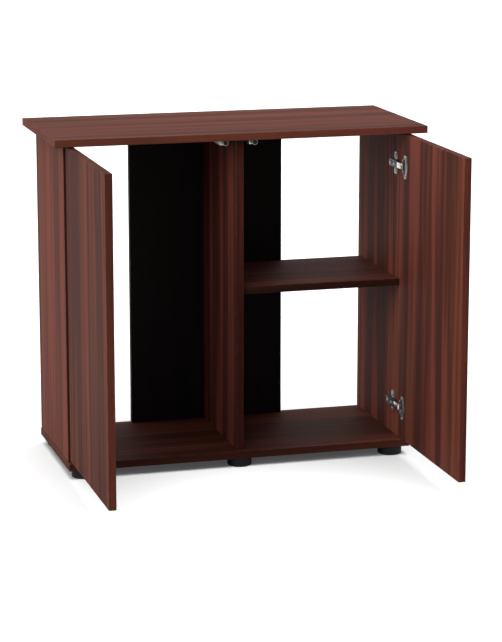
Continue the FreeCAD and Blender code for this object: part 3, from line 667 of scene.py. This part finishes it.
# Hinges: the pressed parts get soft bends, the arm a bead, the cup a plate over half of it; plates and cups take
# nickel with painted shade, the arm deeper painted shade, and the arm's neck the full nickel as a painted
# highlight
hingeLook = {
    "plateEase": 0.35, "armEase": 0.5, "cupEase": 0.3, "easeSteps": 2, "paintedHighlightNeck": 43,
    "ribLength": 12, "ribWidth": 4.2, "ribHeight": 0.55, "ribSpot": 0.71, "ribRings": 5, "ribSteps": 20,
    "capDepth": 0.8, "capGap": 3.0, "capInset": 1.8, "capSteps": 24, "sink": 0.05,
}


def addRib(bm, node, side, look):  # a pressed bead on the arm between its two screws
    low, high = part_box(node)
    inward = 1 if side == "left" else -1
    faceX = high.x if side == "left" else low.x
    middle = Vector((faceX, low.y + (high.y - low.y) * look["ribSpot"], (low.z + high.z) / 2))
    straight = (look["ribLength"] - look["ribWidth"]) / 2
    steps = look["ribSteps"]
    last = None
    for ring in range(look["ribRings"]):
        angle = math.pi / 2 * ring / (look["ribRings"] - 1)
        half = look["ribWidth"] / 2 * math.cos(angle)
        rise = inward * (look["ribHeight"] * math.sin(angle) - look["sink"])
        points = []
        for step in range(steps):
            turn = 2 * math.pi * step / steps
            end = straight if math.cos(turn) >= 0 else -straight
            spot = Vector((rise, end + half * math.cos(turn), half * math.sin(turn)))
            points.append(bm.verts.new(middle + spot * mm))
        if last:
            for step in range(steps):
                after = (step + 1) % steps
                bm.faces.new((last[step], last[after], points[after], points[step]))
        else:
            bm.faces.new(list(reversed(points)))
        last = points
    bmesh.ops.remove_doubles(bm, verts=last, dist=weld)


def addCap(bm, node, side, look):  # the half of the cup away from the door's edge is closed by a thin plate
    low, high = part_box(node)
    outward = -1 if side == "left" else 1
    faceX = high.x if side == "left" else low.x
    middle = (low + high) / 2
    radius = (high.y - low.y) / 2 - look["capInset"] * mm
    half = math.acos(look["capGap"] * mm / radius)
    steps = look["capSteps"]
    rings = []
    for depth in (look["sink"], look["capDepth"]):
        ring = []
        for step in range(steps + 1):
            angle = -half + 2 * half * step / steps
            ring.append(bm.verts.new((faceX + outward * depth * mm, middle.y - radius * math.cos(angle),
                                      middle.z + radius * math.sin(angle))))
        rings.append(ring)
    front, back = rings
    bm.faces.new(front)
    bm.faces.new(list(reversed(back)))
    for step in range(len(front)):
        after = (step + 1) % len(front)
        bm.faces.new((front[step], back[step], back[after], front[after]))


for side in ("left", "right"):
    for level in ("upper", "lower"):
        stem = side + "_" + level + "_hinge_"
        for kind, body in (("plate", "cabinet"), ("arm", "cabinet"), ("cup", "door_" + side)):
            bm = cleanCopy(stem + kind)
            easeEdges(bm, hingeLook[kind + "Ease"], hingeLook["easeSteps"])
            neck = hingeLook["paintedHighlightNeck"] * mm
            if kind == "arm":
                addRib(bm, stem + kind, side, hingeLook)
                bmesh.ops.bisect_plane(bm, geom=list(bm.verts) + list(bm.edges) + list(bm.faces),
                                       plane_co=(0, neck, 0), plane_no=(0, 1, 0))
            if kind == "cup":
                addCap(bm, stem + kind, side, hingeLook)
            # plates and cups get nickel with painted shade, the arm deeper painted shade
            metal = finishes["nickel_painted_deep_shade" if kind == "arm" else "nickel_painted_shade"]
            piece = addPiece(stem + kind + "_pressed", bm, metal, body, stem + kind)
            # the arm's neck keeps the full nickel: a painted highlight
            if kind == "arm":
                piece.data.materials.append(finishes["nickel"])
                for polygon in piece.data.polygons:
                    polygon.material_index = int(polygon.center.y < neck)
print("hinges dressed")

# Push latches: moulded housing, and a ringed plunger with a dark pad in its tip
latchLook = {
    "ease": 0.5, "easeSteps": 3, "headLength": 16.0, "stemRadius": 3.5, "steps": 48,
    "tipRound": 0.6, "tipSteps": 4, "backRound": 0.6, "backSteps": 3,
    "grooveLevels": (5.0, 9.0, 13.0), "groove": 0.5, "grooveDepth": 0.4, "grooveFloor": 0.15,
    "seatInset": 0.8, "seatDepth": 0.65, "seatRim": 0.15,
    "pad": ((0, 0, 0.05), (0.6, 0, 0.1), (1, 0.5, 0.25), (1, 0.1, 0.5), (1, 0.1, 0.6), (0, 0, 0.6)),
}  # each pad point is a share of the seat's radius, how much less than that, and its depth


def makePlunger(side, look):
    node = side + "_latch_plunger"
    low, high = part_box(node)
    radius = (high.x - low.x) / 2 / mm
    length = (high.y - low.y) / mm
    tip = Matrix.Translation(((low.x + high.x) / 2, low.y, (low.z + high.z) / 2))
    tip = tip @ Matrix.Rotation(-math.pi / 2, 4, "X")
    seat, rim, headLength = radius - look["seatInset"], look["seatRim"], look["headLength"]
    outline = [(0, look["seatDepth"]), (seat, look["seatDepth"]), (seat, rim), (seat + rim, 0)]
    outline += reversed(roundedEnd(radius, 0, look["tipRound"], look["tipSteps"], -1))
    groove, deep, floor = look["groove"], look["grooveDepth"], look["grooveFloor"]
    for level in look["grooveLevels"]:
        outline += [(radius, level - groove), (radius - deep, level - floor),
                    (radius - deep, level + floor), (radius, level + groove)]
    outline += roundedEnd(radius, headLength, look["backRound"], look["backSteps"], 1)
    outline += [(look["stemRadius"], headLength), (look["stemRadius"], length), (0, length)]
    bm = bmesh.new()
    turned(bm, outline, look["steps"], tip)
    addPiece(node + "_moulded", bm, finishes["latch_grey"], "plunger_" + side, node)
    pad = [(seat * share - less, depth) for share, less, depth in look["pad"]]
    bm = bmesh.new()
    turned(bm, pad, look["steps"], tip)
    addPiece(side + "_latch_pad", bm, finishes["pad_rubber"], "plunger_" + side, None)


for side in ("left", "right"):
    node = side + "_latch_housing"
    bm = cleanCopy(node)
    easeEdges(bm, latchLook["ease"], latchLook["easeSteps"])
    addPiece(node + "_moulded", bm, finishes["latch_grey"], "cabinet", node)
    makePlunger(side, latchLook)
print("latches dressed")

# Floor: white to the eye, and it keeps the cabinet's shadow
floorLook = {"half": 40, "drop": 0.3, "seen": 0.42, "mirrored": 0.29, "bounce": 0.0115, "lift": 0.057,
             "lamp": 9.2, "lampSpread": 62, "lampWay": (-0.06, 0.20, -1.0)}
floorMesh = bpy.data.meshes.new("studio_floor")
half = floorLook["half"]
floorCorners = [(-half, -half, 0), (half, -half, 0), (half, half, 0), (-half, half, 0)]
floorMesh.from_pydata(floorCorners, [], [(0, 1, 2, 3)])
floorPiece = bpy.data.objects.new("studio_floor", floorMesh)
floorPiece.location.z = -floorLook["drop"] * mm
bpy.context.scene.collection.objects.link(floorPiece)
floorFinish = newFinish("studio_floor")
path = floorFinish.add("LightPath", output="Is Camera Ray")
mirrored = path.also("Is Glossy Ray").most(path.also("Is Transmission Ray"))
paint = {}
for part in ("seen", "mirrored", "bounce"):
    paint[part] = floorFinish.add("BsdfDiffuse", {}, {"Color": (floorLook[part],) * 3 + (1,)})
unseen = floorFinish.add("MixShader", {}, {0: mirrored, 1: paint["bounce"], 2: paint["mirrored"]})
lift = floorFinish.add("Emission", {}, {"Strength": floorLook["lift"]})  # how grey the deepest shadow looks
shown = floorFinish.add("AddShader", {}, {0: paint["seen"], 1: lift})
floorShader = floorFinish.add("MixShader", {}, {0: path, 1: unseen, 2: shown})
floorFinish.add("OutputMaterial", {}, {"Surface": floorShader})
floorMesh.materials.append(floorFinish.owner)

# A wide lamp overhead that lights the floor alone, so the shadow under the cabinet is clear
overhead = bpy.data.lights.new("floor_lamp", "SUN")
overhead.energy = floorLook["lamp"]
overhead.angle = math.radians(floorLook["lampSpread"])
floorLamp = bpy.data.objects.new("floor_lamp", overhead)
floorLamp.rotation_euler = Vector(floorLook["lampWay"]).to_track_quat("-Z", "Y").to_euler()
bpy.context.scene.collection.objects.link(floorLamp)
litByLamp = bpy.data.collections.new("lit_by_floor_lamp")
litByLamp.objects.link(floorPiece)
floorLamp.light_linking.receiver_collection = litByLamp

# Soft studio sky: a soft box on each side and one high on the left, white where it is seen
skyLook = {
    "base": 0.02,
    "leftBox": {"way": (-0.78, -0.51, 0.37), "tightness": 9.8, "strength": 3.0},
    "rightBox": {"way": (0.89, -0.25, 0.37), "tightness": 4.1, "strength": 2.0},
    "highBox": {"way": (-0.76, -0.11, 0.64), "tightness": 5.8, "strength": 3.0},
}
world = bpy.data.worlds.new("studio_sky")
bpy.context.scene.world = world
sky = Finish(world)
way = sky.add("TexCoord", output="Generated")


def softBox(box):
    facing = sky.add("VectorMath", {"operation": "DOT_PRODUCT"}, {0: way, 1: box["way"]}, "Value")
    return facing.most(0.0).power(box["tightness"]) * box["strength"]


glow = skyLook["base"] + softBox(skyLook["leftBox"]) + softBox(skyLook["rightBox"]) + softBox(skyLook["highBox"])
path = sky.add("LightPath", output="Is Camera Ray")
seen = path.most(path.also("Is Glossy Ray")).most(path.also("Is Transmission Ray"))
skyShader = sky.add("Background", {}, {"Color": (1, 1, 1, 1), "Strength": seen + (1 - seen) * glow})
sky.add("OutputWorld", {}, {"Surface": skyShader})

# Camera at the photograph's angle, with no roll and no shift; the focal length is in pixels
viewpoint = {"spot": (-1.3438, -4.7990, 1.4260), "turn": 15.815, "dip": 12.450, "focal": 2398.0,
             "imageHeight": 642, "sensor": 36.0, "farthest": 200}
lens = bpy.data.cameras.new("photo_camera")
lens.sensor_width = viewpoint["sensor"]
lens.lens = viewpoint["focal"] * viewpoint["sensor"] / viewpoint["imageHeight"]
lens.clip_end = viewpoint["farthest"]
photoCamera = bpy.data.objects.new("photo_camera", lens)
turn, dip = math.radians(viewpoint["turn"]), math.radians(viewpoint["dip"])
aim = Vector((math.sin(turn) * math.cos(dip), math.cos(turn) * math.cos(dip), -math.sin(dip)))
photoCamera.location = viewpoint["spot"]
photoCamera.rotation_euler = aim.to_track_quat("-Z", "Y").to_euler()
bpy.context.scene.collection.objects.link(photoCamera)
bpy.context.scene.camera = photoCamera
bpy.context.scene.view_settings.view_transform = "Standard"
print("stage, sky and camera set")
